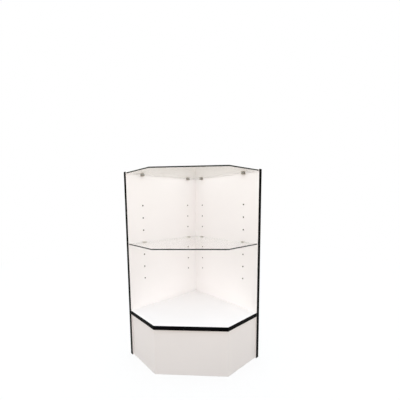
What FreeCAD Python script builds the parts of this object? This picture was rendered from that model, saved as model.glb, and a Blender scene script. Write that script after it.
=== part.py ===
import FreeCAD, Part
import math
import os

import Sketcher

# A corner display case: two faced wall panels, a deck on a closed kick base, and a glass shelf and a glass
# top that are held in clips on the walls.
# Every piece is drawn in the corner's own frame. From the outer back corner, u runs along the left wall to
# the front, v runs along the right wall to the front, and z runs up from the floor.

# Driving sizes, in millimetres
SIZES = {
    # Wall panels and the bands on their bare edges
    "wall_run": 508,
    "wall_height": 1016,
    "panel_thickness": 20.6,
    "band_thickness": 1,
    # Black trim: a flat strip with eased edges and a barbed tongue that is driven into a groove
    "trim_thickness": 1.6,
    "trim_lip": 1.2,
    "trim_ease": 1,
    "tongue_length": 9,
    "tongue_thickness": 1.6,
    "barb_height": 0.3,
    "groove_width": 2.4,
    "groove_depth": 10,
    # Five-sided outline of the deck and of the glass
    "side_setback": 2,
    "return_reach": 251,
    # Deck and kick base
    "deck_height": 258,
    "kick_side_reveal": 6,
    "kick_front_reveal": 10,
    "block_leg": 45,
    "block_floor_gap": 30,
    "block_top_gap": 48,
    "cleat_depth": 19,
    "cleat_height": 38,
    "kick_cleat_end_gap": 10,
    # Shelf holes in the walls
    "hole_radius": 3.175,
    "hole_depth": 12,
    "hole_pitch": 68.6,
    "top_hole_height": 839,
    "front_column": 412,
    "back_column": 87,
    # Glass
    "glass_thickness": 6,
    "glass_wall_gap": 4,
    "glass_arris": 0.8,
    "glass_corner_radius": 2,
    "top_glass_drop": 7,
    # Clips: a C-shaped casting on a pin, a pad each side of the glass, and a set screw under the lower pad
    "clip_width": 18,
    "clip_depth": 20,
    "clip_spine": 3.5,
    "upper_jaw": 2.8,
    "lower_jaw": 5,
    "pin_length": 10,
    "pin_clearance": 0.1,
    "pad_thickness": 0.8,
    "pad_clearance": 0.2,
    "pad_margin": 1.5,
    "pad_nose": 5,
    "lower_pad_thickness": 1.5,
    "lower_pad_lift": 0.5,
    "clip_screw_radius": 2.5,
    "clip_screw_reach": 11,
    "clip_screw_sink": 0.5,
    "socket_radius": 1.4,
    "socket_depth": 2.5,
    # Screws: the threaded length is a six-sided core
    "fastener_clearance": 0.1,
    "joint_screw_radius": 2.5,
    "joint_screw_length": 50,
    "joint_head_radius": 4.5,
    "joint_head_height": 3,
    "joint_end_distance": 60,
    "screw_radius": 2,
    "screw_head_radius": 4,
    "screw_head_height": 2.5,
    "short_screw_length": 32,
    "long_screw_length": 50,
    "cleat_end_distance": 60,
    # How far a cut runs past the face that it opens
    "cut_overrun": 1,
}

# Counts
HOLES_PER_COLUMN = 7
SHELF_STEPS_DOWN = 3
BARBS = 3
JOINT_SCREWS = 4
CLEAT_SCREWS = 3
KICK_CLEAT_SCREWS = 2

# Shares of the sizes that they follow
ROOT_TWO_SHARE = math.sqrt(2)
MITRE_SHARE = math.tan(math.radians(45) / 2)
SIXTHS = [math.radians(60 * corner) for corner in range(6)]
HEXAGON_SHARES = [(math.cos(angle), math.sin(angle)) for angle in SIXTHS]
WALL_SCREW_LOW_SHARE = 0.25
KICK_SCREW_LOW_SHARE = 0.4

doc = FreeCAD.newDocument("CornerDisplayCase")
sheet = doc.addObject("Spreadsheet::Sheet", "Size")
for row, (alias, size) in enumerate(SIZES.items(), start=1):
    sheet.set(f"A{row}", alias)
    sheet.set(f"B{row}", str(size))
    sheet.setAlias(f"B{row}", alias)
doc.recompute()

# Places that several pieces share, as expressions on the driving sizes
ZERO = "0"
PANEL = "Size.panel_thickness"
PANEL_MIDDLE = "Size.panel_thickness / 2"
PANEL_TOP = "(Size.wall_height - Size.band_thickness)"
WALL_EDGE = "(Size.wall_run - Size.trim_thickness)"
DECK_UNDERSIDE = "(Size.deck_height - Size.panel_thickness)"
SIDE_EDGE = "(Size.wall_run - Size.side_setback)"
DIAGONAL = f"({SIDE_EDGE} + Size.return_reach)"
DECK_SIDE = f"({SIDE_EDGE} - Size.trim_thickness)"
DECK_DIAGONAL = f"({DIAGONAL} - {ROOT_TWO_SHARE} * Size.trim_thickness)"
KICK_OUTER = f"({SIDE_EDGE} - Size.kick_side_reveal)"
KICK_INNER = f"({KICK_OUTER} - {PANEL})"
KICK_CORNER = f"({DIAGONAL} - {ROOT_TWO_SHARE} * Size.kick_front_reveal - {KICK_OUTER})"
KICK_INNER_CORNER = f"({KICK_CORNER} - {MITRE_SHARE} * {PANEL})"
CLEAT_UNDERSIDE = f"({DECK_UNDERSIDE} - Size.cleat_height)"
CLEAT_FACE = f"({PANEL} + Size.cleat_depth)"
KICK_CLEAT_FACE = f"({PANEL} + Size.cleat_height)"
KICK_CLEAT_BACK = f"({KICK_INNER} - Size.cleat_depth)"
KICK_CLEAT_HEIGHT = f"({CLEAT_UNDERSIDE} - 2 * Size.kick_cleat_end_gap)"
SHELF_LEVEL = f"(Size.top_hole_height - {SHELF_STEPS_DOWN} * Size.hole_pitch)"
TOP_LEVEL = "(Size.wall_height - Size.top_glass_drop)"
JOINT_SPACING = f"(Size.wall_height - 2 * Size.joint_end_distance) / {JOINT_SCREWS - 1}"

# Heights in a clip, from the middle of the glass
GLASS_FACE = "Size.glass_thickness / 2"
UPPER_JAW_UNDERSIDE = f"({GLASS_FACE} + Size.pad_clearance + Size.pad_thickness)"
CLIP_TOP = f"({UPPER_JAW_UNDERSIDE} + Size.upper_jaw)"
LOWER_PAD_UNDERSIDE = f"(-{GLASS_FACE} - Size.lower_pad_thickness)"
LOWER_JAW_TOP = f"({LOWER_PAD_UNDERSIDE} - Size.lower_pad_lift)"
CLIP_BOTTOM = f"({LOWER_JAW_TOP} - Size.lower_jaw)"
CLIP_SCREW_END = f"({CLIP_BOTTOM} + Size.clip_screw_sink)"

# The two walls mirror each other. Along a wall the plan's first number is u on the left and v on the right.
SIDES = ("left", "right")
LEVELS = {"shelf": SHELF_LEVEL, "top": TOP_LEVEL}
COLUMNS = ("Size.front_column", "Size.back_column")
CORNER_TURN = -90
# Plane across each wall's run, and plane along it
ACROSS_PLANE = {"left": "YZ_Plane", "right": "XZ_Plane"}
ALONG_PLANE = {"left": "XZ_Plane", "right": "YZ_Plane"}
RUN_AXIS = {"left": "X_Axis", "right": "Y_Axis"}

nodes = []


def plan(side, along, out):
    """A point in plan, from its distance along a wall and its distance out from the wall's outer face."""
    return (along, out) if side == "left" else (out, along)


def box_plan(side, along_low, along_high, out_low, out_high):
    """The corners in plan of a piece that runs along a wall."""
    corners = ((along_low, out_low), (along_high, out_low), (along_high, out_high), (along_low, out_high))
    return [plan(side, *corner) for corner in corners]


def five_sided(back, side_edge, diagonal):
    """The plan of a deck or a pane: two edges on the walls, two returns and the diagonal front."""
    corner = f"{diagonal} - {side_edge}"
    return [(back, back), (side_edge, back), (side_edge, corner), (corner, side_edge), (back, side_edge)]


def value(expression):
    return float(sheet.evalExpression(expression))


def vector(point):
    return FreeCAD.Vector(value(point[0]), value(point[1]), 0)


def new_body(name):
    """A new piece in the corner's frame, which is turned and set over the middle of the case's plan."""
    body = doc.addObject("PartDesign::Body", name)
    body.Label = name
    turn = FreeCAD.Rotation(FreeCAD.Vector(0, 0, 1), CORNER_TURN)
    body.Placement = FreeCAD.Placement(FreeCAD.Vector(), turn)
    body.setExpression("Placement.Base.x", "-Size.wall_run / 2")
    body.setExpression("Placement.Base.y", "Size.wall_run / 2")
    nodes.append(body)
    return body


def origin_part(body, role):
    return next(part for part in body.Origin.OriginFeatures if part.Role == role)


def plane_offset(plane, distance):
    """The offset that puts a sketch at a distance along +u, +v or +z: the XZ plane faces towards -v."""
    return f"-({distance})" if plane == "XZ_Plane" else distance


def new_sketch(body, plane, distance=ZERO):
    sketch = body.newObject("Sketcher::SketchObject", f"{body.Name}_sketch")
    sketch.AttachmentSupport = [(origin_part(body, plane), "")]
    sketch.MapMode = "FlatFace"
    sketch.setExpression("AttachmentOffset.Base.z", plane_offset(plane, distance))
    return sketch


def hold(sketch, geometry, position, point):
    """Ties a point of the sketch to its two distances from the sketch's origin."""
    for kind, own_axis, place in (("DistanceX", -2, point[0]), ("DistanceY", -1, point[1])):
        if place == ZERO:
            sketch.addConstraint(Sketcher.Constraint("PointOnObject", geometry, position, own_axis))
        else:
            index = sketch.addConstraint(Sketcher.Constraint(kind, -1, 1, geometry, position, value(place)))
            sketch.setExpression(f"Constraints[{index}]", place)


def draw(sketch, points, closed=True):
    """Draws an outline through its corners. An arc between its neighbours passes a point marked "arc"."""
    corners = [point for point in points if point[0] != "arc"]
    through = {}
    count = 0
    for point in points:
        if point[0] == "arc":
            through[count - 1] = point[1:]
        else:
            count += 1
    edges = []
    for index in range(count if closed else count - 1):
        start, end = vector(corners[index]), vector(corners[(index + 1) % count])
        if index in through:
            middle = vector(through[index])
            goes_left = (middle - start).cross(end - middle).z > 0
            ends = (start, end) if goes_left else (end, start)
            edge = sketch.addGeometry(Part.Arc(ends[0], middle, ends[1]), False)
            edges.append((edge, 1 if goes_left else 2))
            mark = sketch.addGeometry(Part.Point(middle), True)
            hold(sketch, mark, 1, through[index])
            sketch.addConstraint(Sketcher.Constraint("PointOnObject", mark, 1, edge))
        else:
            edges.append((sketch.addGeometry(Part.LineSegment(start, end), False), 1))
    for (edge, first), (following, following_first) in zip(edges, edges[1:] + edges[:1] * closed):
        sketch.addConstraint(Sketcher.Constraint("Coincident", edge, 3 - first, following, following_first))
    for (edge, first), corner in zip(edges, corners):
        hold(sketch, edge, first, corner)
    if not closed:
        hold(sketch, edges[-1][0], 3 - edges[-1][1], corners[-1])


def ring(sketch, centre, radius):
    circle = Part.Circle(vector(centre), FreeCAD.Vector(0, 0, 1), value(radius))
    geometry = sketch.addGeometry(circle, False)
    hold(sketch, geometry, 3, centre)
    index = sketch.addConstraint(Sketcher.Constraint("Radius", geometry, value(radius)))
    sketch.setExpression(f"Constraints[{index}]", radius)


def hexagon(sketch, centre, radius):
    across, up = centre
    draw(sketch, [(f"{across} + {cosine} * ({radius})", f"{up} + {sine} * ({radius})")
                  for cosine, sine in HEXAGON_SHARES])


def add_feature(body, kind, sketch):
    feature = body.newObject(f"PartDesign::{kind}", f"{body.Name}_{kind}")
    feature.Profile = sketch
    sketch.Visibility = False
    return feature


def pad(body, sketch, length, backwards=False):
    feature = add_feature(body, "Pad", sketch)
    feature.setExpression("Length", length)
    feature.Reversed = backwards
    return feature


def pocket(body, sketch, length=None, backwards=False):
    """Cuts a sketch into a piece, to a depth or right through it."""
    feature = add_feature(body, "Pocket", sketch)
    if length is None:
        feature.Type = "ThroughAll"
    else:
        feature.setExpression("Length", length)
    feature.Reversed = backwards
    return feature


def repeat(body, feature, axis, spacing, count, backwards=False):
    pattern = body.newObject("PartDesign::LinearPattern", f"{body.Name}_pattern")
    pattern.Originals = [feature]
    pattern.Direction = (origin_part(body, axis), [""])
    pattern.Mode = "Spacing"
    pattern.setExpression("Offset", spacing)
    pattern.Occurrences = count
    pattern.Reversed = backwards
    body.Tip = pattern
    return pattern


def swept(body, kind, profile, path):
    """Carries a section along a path of straight runs, with mitred corners."""
    feature = add_feature(body, kind, profile)
    feature.Spine = (path, [])
    feature.Mode = "Standard"
    feature.Transition = "Right corner"
    path.Visibility = False
    return feature


class Row:
    """A row of like screws, which also bores its own holes in the pieces that it joins."""

    def __init__(self, plane, start, sign, centre, length, radius, axis, spacing, count):
        self.plane, self.start, self.sign, self.centre = plane, start, sign, centre
        self.length, self.radius = length, radius
        self.axis, self.spacing, self.count = axis, spacing, count

    def is_backwards(self, cuts):
        """Whether a feature turns round to follow the screws: pads go with the plane's face, cuts against."""
        along_face = (self.sign == "+") == (self.plane != "XZ_Plane")
        return along_face == cuts

    def repeat(self, body, feature):
        repeat(body, feature, self.axis, self.spacing, self.count)

    def add_core(self, body):
        sketch = new_sketch(body, self.plane, self.start)
        hexagon(sketch, self.centre, self.radius)
        self.repeat(body, pad(body, sketch, self.length, self.is_backwards(cuts=False)))

    def add_head(self, body, radius, height, shape, sunk=False):
        """A head that stands on the face where the screw goes in, or is sunk flush with it."""
        sketch = new_sketch(body, self.plane, self.start)
        shape(sketch, self.centre, radius)
        self.repeat(body, pad(body, sketch, height, self.is_backwards(cuts=False) == sunk))

    def bore(self, body):
        sketch = new_sketch(body, self.plane, self.start)
        hexagon(sketch, self.centre, f"{self.radius} + Size.fastener_clearance")
        depth = f"{self.length} + Size.fastener_clearance"
        self.repeat(body, pocket(body, sketch, depth, self.is_backwards(cuts=True)))

    def sink(self, body, radius, height):
        """A round recess that takes a sunk head."""
        sketch = new_sketch(body, self.plane, self.start)
        ring(sketch, self.centre, f"{radius} + Size.fastener_clearance")
        depth = f"{height} + Size.fastener_clearance"
        self.repeat(body, pocket(body, sketch, depth, self.is_backwards(cuts=True)))


def cleat_start(side):
    return PANEL if side == "left" else CLEAT_FACE


def cleat_spacing(side):
    room = f"{KICK_INNER} - {cleat_start(side)} - 2 * Size.cleat_end_distance"
    return f"({room}) / {CLEAT_SCREWS - 1}"


def deck_cleat_row(side):
    """Screws through a deck cleat into the wall."""
    centre = (f"{cleat_start(side)} + Size.cleat_end_distance", f"{DECK_UNDERSIDE} - Size.cleat_height / 2")
    return Row(ALONG_PLANE[side], CLEAT_FACE, "-", centre, "Size.short_screw_length", "Size.screw_radius",
               RUN_AXIS[side], cleat_spacing(side), CLEAT_SCREWS)


def deck_row(side):
    """Screws up through a cleat into the deck, halfway between the screws that hold the cleat."""
    along = f"{cleat_start(side)} + Size.cleat_end_distance + {cleat_spacing(side)} / 2"
    centre = plan(side, along, f"{PANEL} + Size.cleat_depth / 2")
    return Row("XY_Plane", CLEAT_UNDERSIDE, "+", centre, "Size.long_screw_length", "Size.screw_radius",
               RUN_AXIS[side], cleat_spacing(side), CLEAT_SCREWS - 1)


def upright_row(plane, start, sign, place, length, low_share):
    """Screws up the height of a kick cleat, the lowest at a share of its height and the highest alike."""
    centre = (place, f"Size.kick_cleat_end_gap + {low_share} * {KICK_CLEAT_HEIGHT}")
    return Row(plane, start, sign, centre, length, "Size.screw_radius", "Z_Axis",
               f"(1 - 2 * {low_share}) * {KICK_CLEAT_HEIGHT}", KICK_CLEAT_SCREWS)


def kick_wall_row(side):
    """Screws through a kick cleat into the wall."""
    return upright_row(ALONG_PLANE[side], KICK_CLEAT_FACE, "-", f"{KICK_INNER} - Size.cleat_depth / 2",
                       "Size.long_screw_length", WALL_SCREW_LOW_SHARE)


def kick_panel_row(side):
    """Screws through a kick cleat into the end of the kick."""
    return upright_row(ACROSS_PLANE[side], KICK_CLEAT_BACK, "+", f"{PANEL} + Size.cleat_height / 2",
                       "Size.short_screw_length", KICK_SCREW_LOW_SHARE)


# Screws up the back corner, through the left wall into the edge of the right one
JOINT_ROW = Row("XZ_Plane", ZERO, "+", (PANEL_MIDDLE, "Size.joint_end_distance"), "Size.joint_screw_length",
                "Size.joint_screw_radius", "Z_Axis", JOINT_SPACING, JOINT_SCREWS)


def pin_holes(body, side, heights):
    """Blind holes for clip pins in the inner face of a wall, one at each column."""
    plane = ALONG_PLANE[side]
    sketch = new_sketch(body, plane, PANEL)
    for column in COLUMNS:
        for height in heights:
            ring(sketch, (column, height), "Size.hole_radius")
    return pocket(body, sketch, "Size.hole_depth", backwards=plane == "XZ_Plane")


def wall_groove(body, side):
    """The groove for the trim's tongue, up the whole front edge."""
    sketch = new_sketch(body, "XY_Plane")
    low, high = (f"{PANEL_MIDDLE} {sign} Size.groove_width / 2" for sign in "-+")
    inner, outer = f"{WALL_EDGE} - Size.groove_depth", f"{WALL_EDGE} + Size.cut_overrun"
    draw(sketch, box_plan(side, inner, outer, low, high))
    pocket(body, sketch, backwards=True)


def wall_panel(side):
    body = new_body(f"{side}_wall_panel")
    start = "Size.band_thickness" if side == "left" else PANEL
    sketch = new_sketch(body, "XY_Plane")
    draw(sketch, box_plan(side, start, WALL_EDGE, ZERO, PANEL))
    pad(body, sketch, PANEL_TOP)

    wall_groove(body, side)
    columns = pin_holes(body, side, ["Size.top_hole_height"])
    repeat(body, columns, "Z_Axis", "Size.hole_pitch", HOLES_PER_COLUMN, backwards=True)
    pin_holes(body, side, [TOP_LEVEL])

    JOINT_ROW.bore(body)
    if side == "left":
        JOINT_ROW.sink(body, "Size.joint_head_radius", "Size.joint_head_height")
    deck_cleat_row(side).bore(body)
    kick_wall_row(side).bore(body)


def edge_bands():
    for side in SIDES:
        body = new_body(f"{side}_wall_top_band")
        sketch = new_sketch(body, "XY_Plane", PANEL_TOP)
        draw(sketch, box_plan(side, ZERO if side == "left" else PANEL, WALL_EDGE, ZERO, PANEL))
        pad(body, sketch, "Size.band_thickness")
        wall_groove(body, side)
    body = new_body("left_wall_back_band")
    sketch = new_sketch(body, "XY_Plane")
    draw(sketch, box_plan("left", ZERO, "Size.band_thickness", ZERO, PANEL))
    pad(body, sketch, PANEL_TOP)


def trim_section(edge, base, place):
    """The trim's section: a strip with eased edges on the panel's edge, and a tongue with barbed sides."""
    middle = f"{base} + {PANEL_MIDDLE}"

    def flank(sign):
        half = f"{middle} {sign} Size.tongue_thickness / 2"
        points = [place(edge, half)]
        for barb in range(1, BARBS + 1):
            root = f"{edge} - Size.tongue_length * {barb} / {BARBS + 1}"
            points.append(place(root, half))
            points.append(place(root, f"{half} {sign} Size.barb_height"))
        points.append(place(f"{edge} - Size.tongue_length", half))
        return points

    lip, face = f"{edge} + Size.trim_lip", f"{edge} + Size.trim_thickness"
    top = f"{base} + {PANEL}"
    eased = [place(face, f"{base} + Size.trim_ease"), place(face, f"{top} - Size.trim_ease")]
    strip = [place(edge, base), place(lip, base), *eased, place(lip, top), place(edge, top)]
    return [*strip, *flank("+"), *reversed(flank("-"))]


def wall_trim(side):
    body = new_body(f"{side}_wall_edge_trim")
    sketch = new_sketch(body, "XY_Plane")
    draw(sketch, trim_section(WALL_EDGE, ZERO, lambda along, out: plan(side, along, out)))
    pad(body, sketch, "Size.wall_height")


def deck_edge_path(body):
    """The free edges of the bare deck, from the left wall round the diagonal front to the right wall."""
    path = new_sketch(body, "XY_Plane", DECK_UNDERSIDE)
    corner = f"{DECK_DIAGONAL} - {DECK_SIDE}"
    ends = (DECK_SIDE, PANEL), (PANEL, DECK_SIDE)
    draw(path, [ends[0], (DECK_SIDE, corner), (corner, DECK_SIDE), ends[1]], closed=False)
    return path


def deck_panel():
    body = new_body("deck_panel")
    sketch = new_sketch(body, "XY_Plane", DECK_UNDERSIDE)
    draw(sketch, five_sided(PANEL, DECK_SIDE, DECK_DIAGONAL))
    pad(body, sketch, PANEL)

    section = new_sketch(body, "XZ_Plane", PANEL)
    low, high = (f"{DECK_UNDERSIDE} + {PANEL_MIDDLE} {sign} Size.groove_width / 2" for sign in "-+")
    inner, outer = f"{DECK_SIDE} - Size.groove_depth", f"{DECK_SIDE} + Size.cut_overrun"
    draw(section, [(inner, low), (outer, low), (outer, high), (inner, high)])
    swept(body, "SubtractivePipe", section, deck_edge_path(body))

    for side in SIDES:
        deck_row(side).bore(body)


def deck_trim():
    body = new_body("deck_edge_trim")
    section = new_sketch(body, "XZ_Plane", PANEL)
    draw(section, trim_section(DECK_SIDE, DECK_UNDERSIDE, lambda along, out: (along, out)))
    swept(body, "AdditivePipe", section, deck_edge_path(body))


def kick_side(side):
    body = new_body(f"{side}_kick_panel")
    sketch = new_sketch(body, "XY_Plane")
    mitre = (KICK_OUTER, KICK_CORNER), (KICK_INNER, KICK_INNER_CORNER)
    corners = ((KICK_OUTER, PANEL), *mitre, (KICK_INNER, PANEL))
    draw(sketch, [plan(side, *corner) for corner in corners])
    pad(body, sketch, DECK_UNDERSIDE)
    kick_panel_row(side).bore(body)


def kick_front():
    body = new_body("front_kick_panel")
    sketch = new_sketch(body, "XY_Plane")
    outer, inner = (KICK_OUTER, KICK_CORNER), (KICK_INNER, KICK_INNER_CORNER)
    draw(sketch, [outer, outer[::-1], inner[::-1], inner])
    pad(body, sketch, DECK_UNDERSIDE)


def kick_block(side):
    """A three-cornered block glued behind a mitred corner of the kick."""
    body = new_body(f"{side}_kick_block")
    sketch = new_sketch(body, "XY_Plane", "Size.block_floor_gap")
    leg = f"Size.block_leg / {ROOT_TWO_SHARE}"
    corners = (
        (KICK_INNER, KICK_INNER_CORNER),
        (f"{KICK_INNER} - {leg}", f"{KICK_INNER_CORNER} + {leg}"),
        (KICK_INNER, f"{KICK_INNER_CORNER} - Size.block_leg"),
    )
    draw(sketch, [plan(side, *corner) for corner in corners])
    pad(body, sketch, f"{DECK_UNDERSIDE} - Size.block_floor_gap - Size.block_top_gap")


def deck_cleat(side):
    body = new_body(f"{side}_deck_cleat")
    sketch = new_sketch(body, "XY_Plane", CLEAT_UNDERSIDE)
    draw(sketch, box_plan(side, cleat_start(side), KICK_INNER, PANEL, CLEAT_FACE))
    pad(body, sketch, "Size.cleat_height")
    deck_cleat_row(side).bore(body)
    deck_row(side).bore(body)


def kick_cleat(side):
    body = new_body(f"{side}_kick_cleat")
    sketch = new_sketch(body, "XY_Plane", "Size.kick_cleat_end_gap")
    draw(sketch, box_plan(side, KICK_CLEAT_BACK, KICK_INNER, PANEL, KICK_CLEAT_FACE))
    pad(body, sketch, KICK_CLEAT_HEIGHT)
    kick_wall_row(side).bore(body)
    kick_panel_row(side).bore(body)


def screw_groups():
    joint_screws = new_body("wall_joint_screws")
    JOINT_ROW.add_core(joint_screws)
    JOINT_ROW.add_head(joint_screws, "Size.joint_head_radius", "Size.joint_head_height", ring, sunk=True)
    groups = {
        "deck_cleat_screws": (deck_cleat_row,),
        "deck_screws": (deck_row,),
        "kick_cleat_screws": (kick_wall_row, kick_panel_row),
    }
    for name, rows in groups.items():
        body = new_body(name)
        for side in SIDES:
            for row in rows:
                row(side).add_core(body)
                row(side).add_head(body, "Size.screw_head_radius", "Size.screw_head_height", hexagon)


def edges_of(feature, wanted):
    return [f"Edge{index}" for index, edge in enumerate(feature.Shape.Edges, start=1) if wanted(edge)]


def is_upright(edge):
    box = edge.BoundBox
    return box.ZLength > max(box.XLength, box.YLength)


def rounded(body, kind, feature, edges, property_name, size):
    smooth = body.newObject(f"PartDesign::{kind}", f"{body.Name}_{kind}")
    smooth.Base = (feature, edges)
    smooth.setExpression(property_name, size)
    return smooth


def pane(name, level):
    """A pane of plate glass with its corners nipped and its edges arrised."""
    body = new_body(name)
    sketch = new_sketch(body, "XY_Plane", f"{level} - {GLASS_FACE}")
    draw(sketch, five_sided(f"({PANEL} + Size.glass_wall_gap)", SIDE_EDGE, DIAGONAL))
    plate = pad(body, sketch, "Size.glass_thickness")
    doc.recompute()
    nipped = rounded(body, "Fillet", plate, edges_of(plate, is_upright), "Radius", "Size.glass_corner_radius")
    doc.recompute()
    flat_edges = edges_of(nipped, lambda edge: not is_upright(edge))
    rounded(body, "Chamfer", nipped, flat_edges, "Size", "Size.glass_arris")


def clip_places():
    return [(side, column) for side in SIDES for column in COLUMNS]


def clips(name, level):
    """Half-round clips: each is a casting with two jaws and a spine, on a pin that fits a shelf hole."""
    body = new_body(name)
    half = "Size.clip_width / 2"
    nose = f"{PANEL} + Size.clip_depth"
    casting = new_sketch(body, "XY_Plane", f"{level} + {CLIP_BOTTOM}")
    mouth = new_sketch(body, "XY_Plane", f"{level} + {UPPER_JAW_UNDERSIDE}")
    screw_hole = new_sketch(body, "XY_Plane", f"{level} + {LOWER_JAW_TOP}")
    for side, column in clip_places():
        low, high = f"{column} - {half}", f"{column} + {half}"
        back_low, back_high, front_high, front_low = box_plan(side, low, high, PANEL, f"{nose} - {half}")
        draw(casting, [back_low, back_high, front_high, ("arc", *plan(side, column, nose)), front_low])
        draw(mouth, box_plan(side, f"{low} - Size.cut_overrun", f"{high} + Size.cut_overrun",
                             f"{PANEL} + Size.clip_spine", f"{nose} + Size.cut_overrun"))
        screw_centre = plan(side, column, f"{PANEL} + Size.clip_screw_reach")
        hexagon(screw_hole, screw_centre, "Size.clip_screw_radius + Size.fastener_clearance")
    pad(body, casting, f"{CLIP_TOP} - {CLIP_BOTTOM}")
    pocket(body, mouth, f"{UPPER_JAW_UNDERSIDE} - {LOWER_JAW_TOP}")
    pocket(body, screw_hole, "Size.lower_jaw")
    for side in SIDES:
        plane = ALONG_PLANE[side]
        pins = new_sketch(body, plane, PANEL)
        for column in COLUMNS:
            ring(pins, (column, level), "Size.hole_radius - Size.pin_clearance")
        pad(body, pins, "Size.pin_length", backwards=plane == "YZ_Plane")


def clip_screws(name, level):
    """Set screws up through the lower jaws, each with a socket in its lower end."""
    body = new_body(name)
    core = new_sketch(body, "XY_Plane", f"{level} + {CLIP_SCREW_END}")
    socket = new_sketch(body, "XY_Plane", f"{level} + {CLIP_SCREW_END}")
    for side, column in clip_places():
        centre = plan(side, column, f"{PANEL} + Size.clip_screw_reach")
        hexagon(core, centre, "Size.clip_screw_radius")
        hexagon(socket, centre, "Size.socket_radius")
    pad(body, core, f"{LOWER_PAD_UNDERSIDE} - {CLIP_SCREW_END}")
    pocket(body, socket, "Size.socket_depth", backwards=True)


def clip_pads(name, level):
    """In each clip, a soft pad under the upper jaw and a thicker one on the tip of the screw."""
    body = new_body(name)
    upper = new_sketch(body, "XY_Plane", f"{level} + {UPPER_JAW_UNDERSIDE} - Size.pad_thickness")
    lower = new_sketch(body, "XY_Plane", f"{level} + {LOWER_PAD_UNDERSIDE}")
    half = "(Size.clip_width / 2 - Size.pad_margin)"
    back = f"{PANEL} + Size.clip_spine + Size.pad_margin"
    front = f"{PANEL} + Size.clip_depth - Size.pad_nose"
    for side, column in clip_places():
        corners = box_plan(side, f"{column} - {half}", f"{column} + {half}", back, front)
        draw(upper, corners)
        draw(lower, corners)
    pad(body, upper, "Size.pad_thickness")
    pad(body, lower, "Size.lower_pad_thickness")


def build():
    for side in SIDES:
        wall_panel(side)
        wall_trim(side)
    edge_bands()
    deck_panel()
    deck_trim()
    kick_front()
    for side in SIDES:
        kick_side(side)
        kick_block(side)
        deck_cleat(side)
        kick_cleat(side)
    screw_groups()
    for level_name, level in LEVELS.items():
        clips(f"{level_name}_clips", level)
        clip_screws(f"{level_name}_clip_screws", level)
        clip_pads(f"{level_name}_clip_pads", level)
    pane("glass_shelf", SHELF_LEVEL)
    pane("glass_top", TOP_LEVEL)
    doc.recompute()


def check():
    """Stops at a failed object, a cut that removes nothing or a shape that isn't sound."""
    cuts = ("PartDesign::Pocket", "PartDesign::SubtractivePipe")
    for item in doc.Objects:
        if "Invalid" in item.State or "Error" in item.State:
            raise RuntimeError(f"{item.Label} failed: {item.State}")
        if item.TypeId in cuts and not item.Shape.Volume < item.BaseFeature.Shape.Volume:
            raise RuntimeError(f"{item.Label} cuts nothing")
    for body in nodes:
        if body.Shape.isNull() or not body.Shape.isValid() or not body.Shape.Solids:
            raise RuntimeError(f"{body.Label} isn't a sound solid")


def export():
    os.makedirs("parts", exist_ok=True)
    for body in nodes:
        body.Shape.exportStep(f"parts/{body.Label}.step")


build()
check()
export()
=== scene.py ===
import math

import bmesh
import bpy
from bpy.props import FloatProperty, FloatVectorProperty, IntProperty, PointerProperty
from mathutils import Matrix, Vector


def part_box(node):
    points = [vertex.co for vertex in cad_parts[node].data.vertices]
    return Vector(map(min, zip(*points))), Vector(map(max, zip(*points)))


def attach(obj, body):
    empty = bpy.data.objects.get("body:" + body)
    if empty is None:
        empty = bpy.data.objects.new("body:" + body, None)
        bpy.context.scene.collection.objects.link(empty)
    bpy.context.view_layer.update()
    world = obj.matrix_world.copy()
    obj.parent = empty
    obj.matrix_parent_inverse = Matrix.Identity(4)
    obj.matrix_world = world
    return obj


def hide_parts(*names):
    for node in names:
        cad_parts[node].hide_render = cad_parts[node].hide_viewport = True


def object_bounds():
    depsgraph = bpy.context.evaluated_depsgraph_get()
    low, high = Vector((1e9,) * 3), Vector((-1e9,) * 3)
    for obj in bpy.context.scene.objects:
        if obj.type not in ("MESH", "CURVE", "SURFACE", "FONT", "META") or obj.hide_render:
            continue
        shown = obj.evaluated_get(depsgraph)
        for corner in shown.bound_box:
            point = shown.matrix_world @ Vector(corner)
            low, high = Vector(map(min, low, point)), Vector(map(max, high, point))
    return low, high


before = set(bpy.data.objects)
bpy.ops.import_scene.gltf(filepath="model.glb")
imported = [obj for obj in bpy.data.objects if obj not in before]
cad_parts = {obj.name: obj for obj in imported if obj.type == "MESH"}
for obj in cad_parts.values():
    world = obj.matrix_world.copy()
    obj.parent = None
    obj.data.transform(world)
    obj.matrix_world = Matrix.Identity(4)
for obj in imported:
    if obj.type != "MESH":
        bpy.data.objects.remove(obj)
cad_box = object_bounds()

bl_info = {
    "name": "Corner Display Case",
    "version": (1, 0, 0),
    "blender": (4, 5, 0),
    "location": "3D View > Sidebar > Display Case",
    "description": "Finishes, glass, clips and screws for an open corner display case",
    "category": "Object",
}

MM = 0.001
WHITE = (1, 1, 1)
QUARTER_TURN = math.radians(90)
SMOOTH_ANGLE = math.radians(35)
SHARP_ANGLE = math.radians(40)
OUTER_CORNER_X, OUTER_CORNER_Y = cad_box[0][0], cad_box[1][1]

# A face looks along an axis when its normal has at least this share along it
FACING = 0.99

# Thickness of the white face on a board
FACE_SKIN = 0.3 * MM

# Streaks in a metre, across and along the draw of the trim and the grain of the pine
DRAW_ACROSS, DRAW_ALONG = 900, 6
GRAIN_ACROSS, GRAIN_ALONG = 260, 14

# Radius of a clip's nose as a share of half its width, so that its two bevels don't meet
NOSE_SHARE = 0.995

# Width of a screw's tip as a share of its core
TIP_SHARE = 0.15

# Heights of the screws in the kick cleats, as shares of a cleat's height
WALL_SHARES = (0.25, 0.75)
KICK_SHARES = (0.4, 0.6)

# How far above the horizon the mirrored room takes on its colour, as a share of straight up
HORIZON_FADE = 0.06


def length(name, description, millimetres):
    return FloatProperty(name=name, description=description, default=millimetres * MM, min=0, unit="LENGTH")


def number(name, description, value, **kind):
    return FloatProperty(name=name, description=description, default=value, **kind)


def count(name, description, value, least):
    return IntProperty(name=name, description=description, default=value, min=least)


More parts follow.
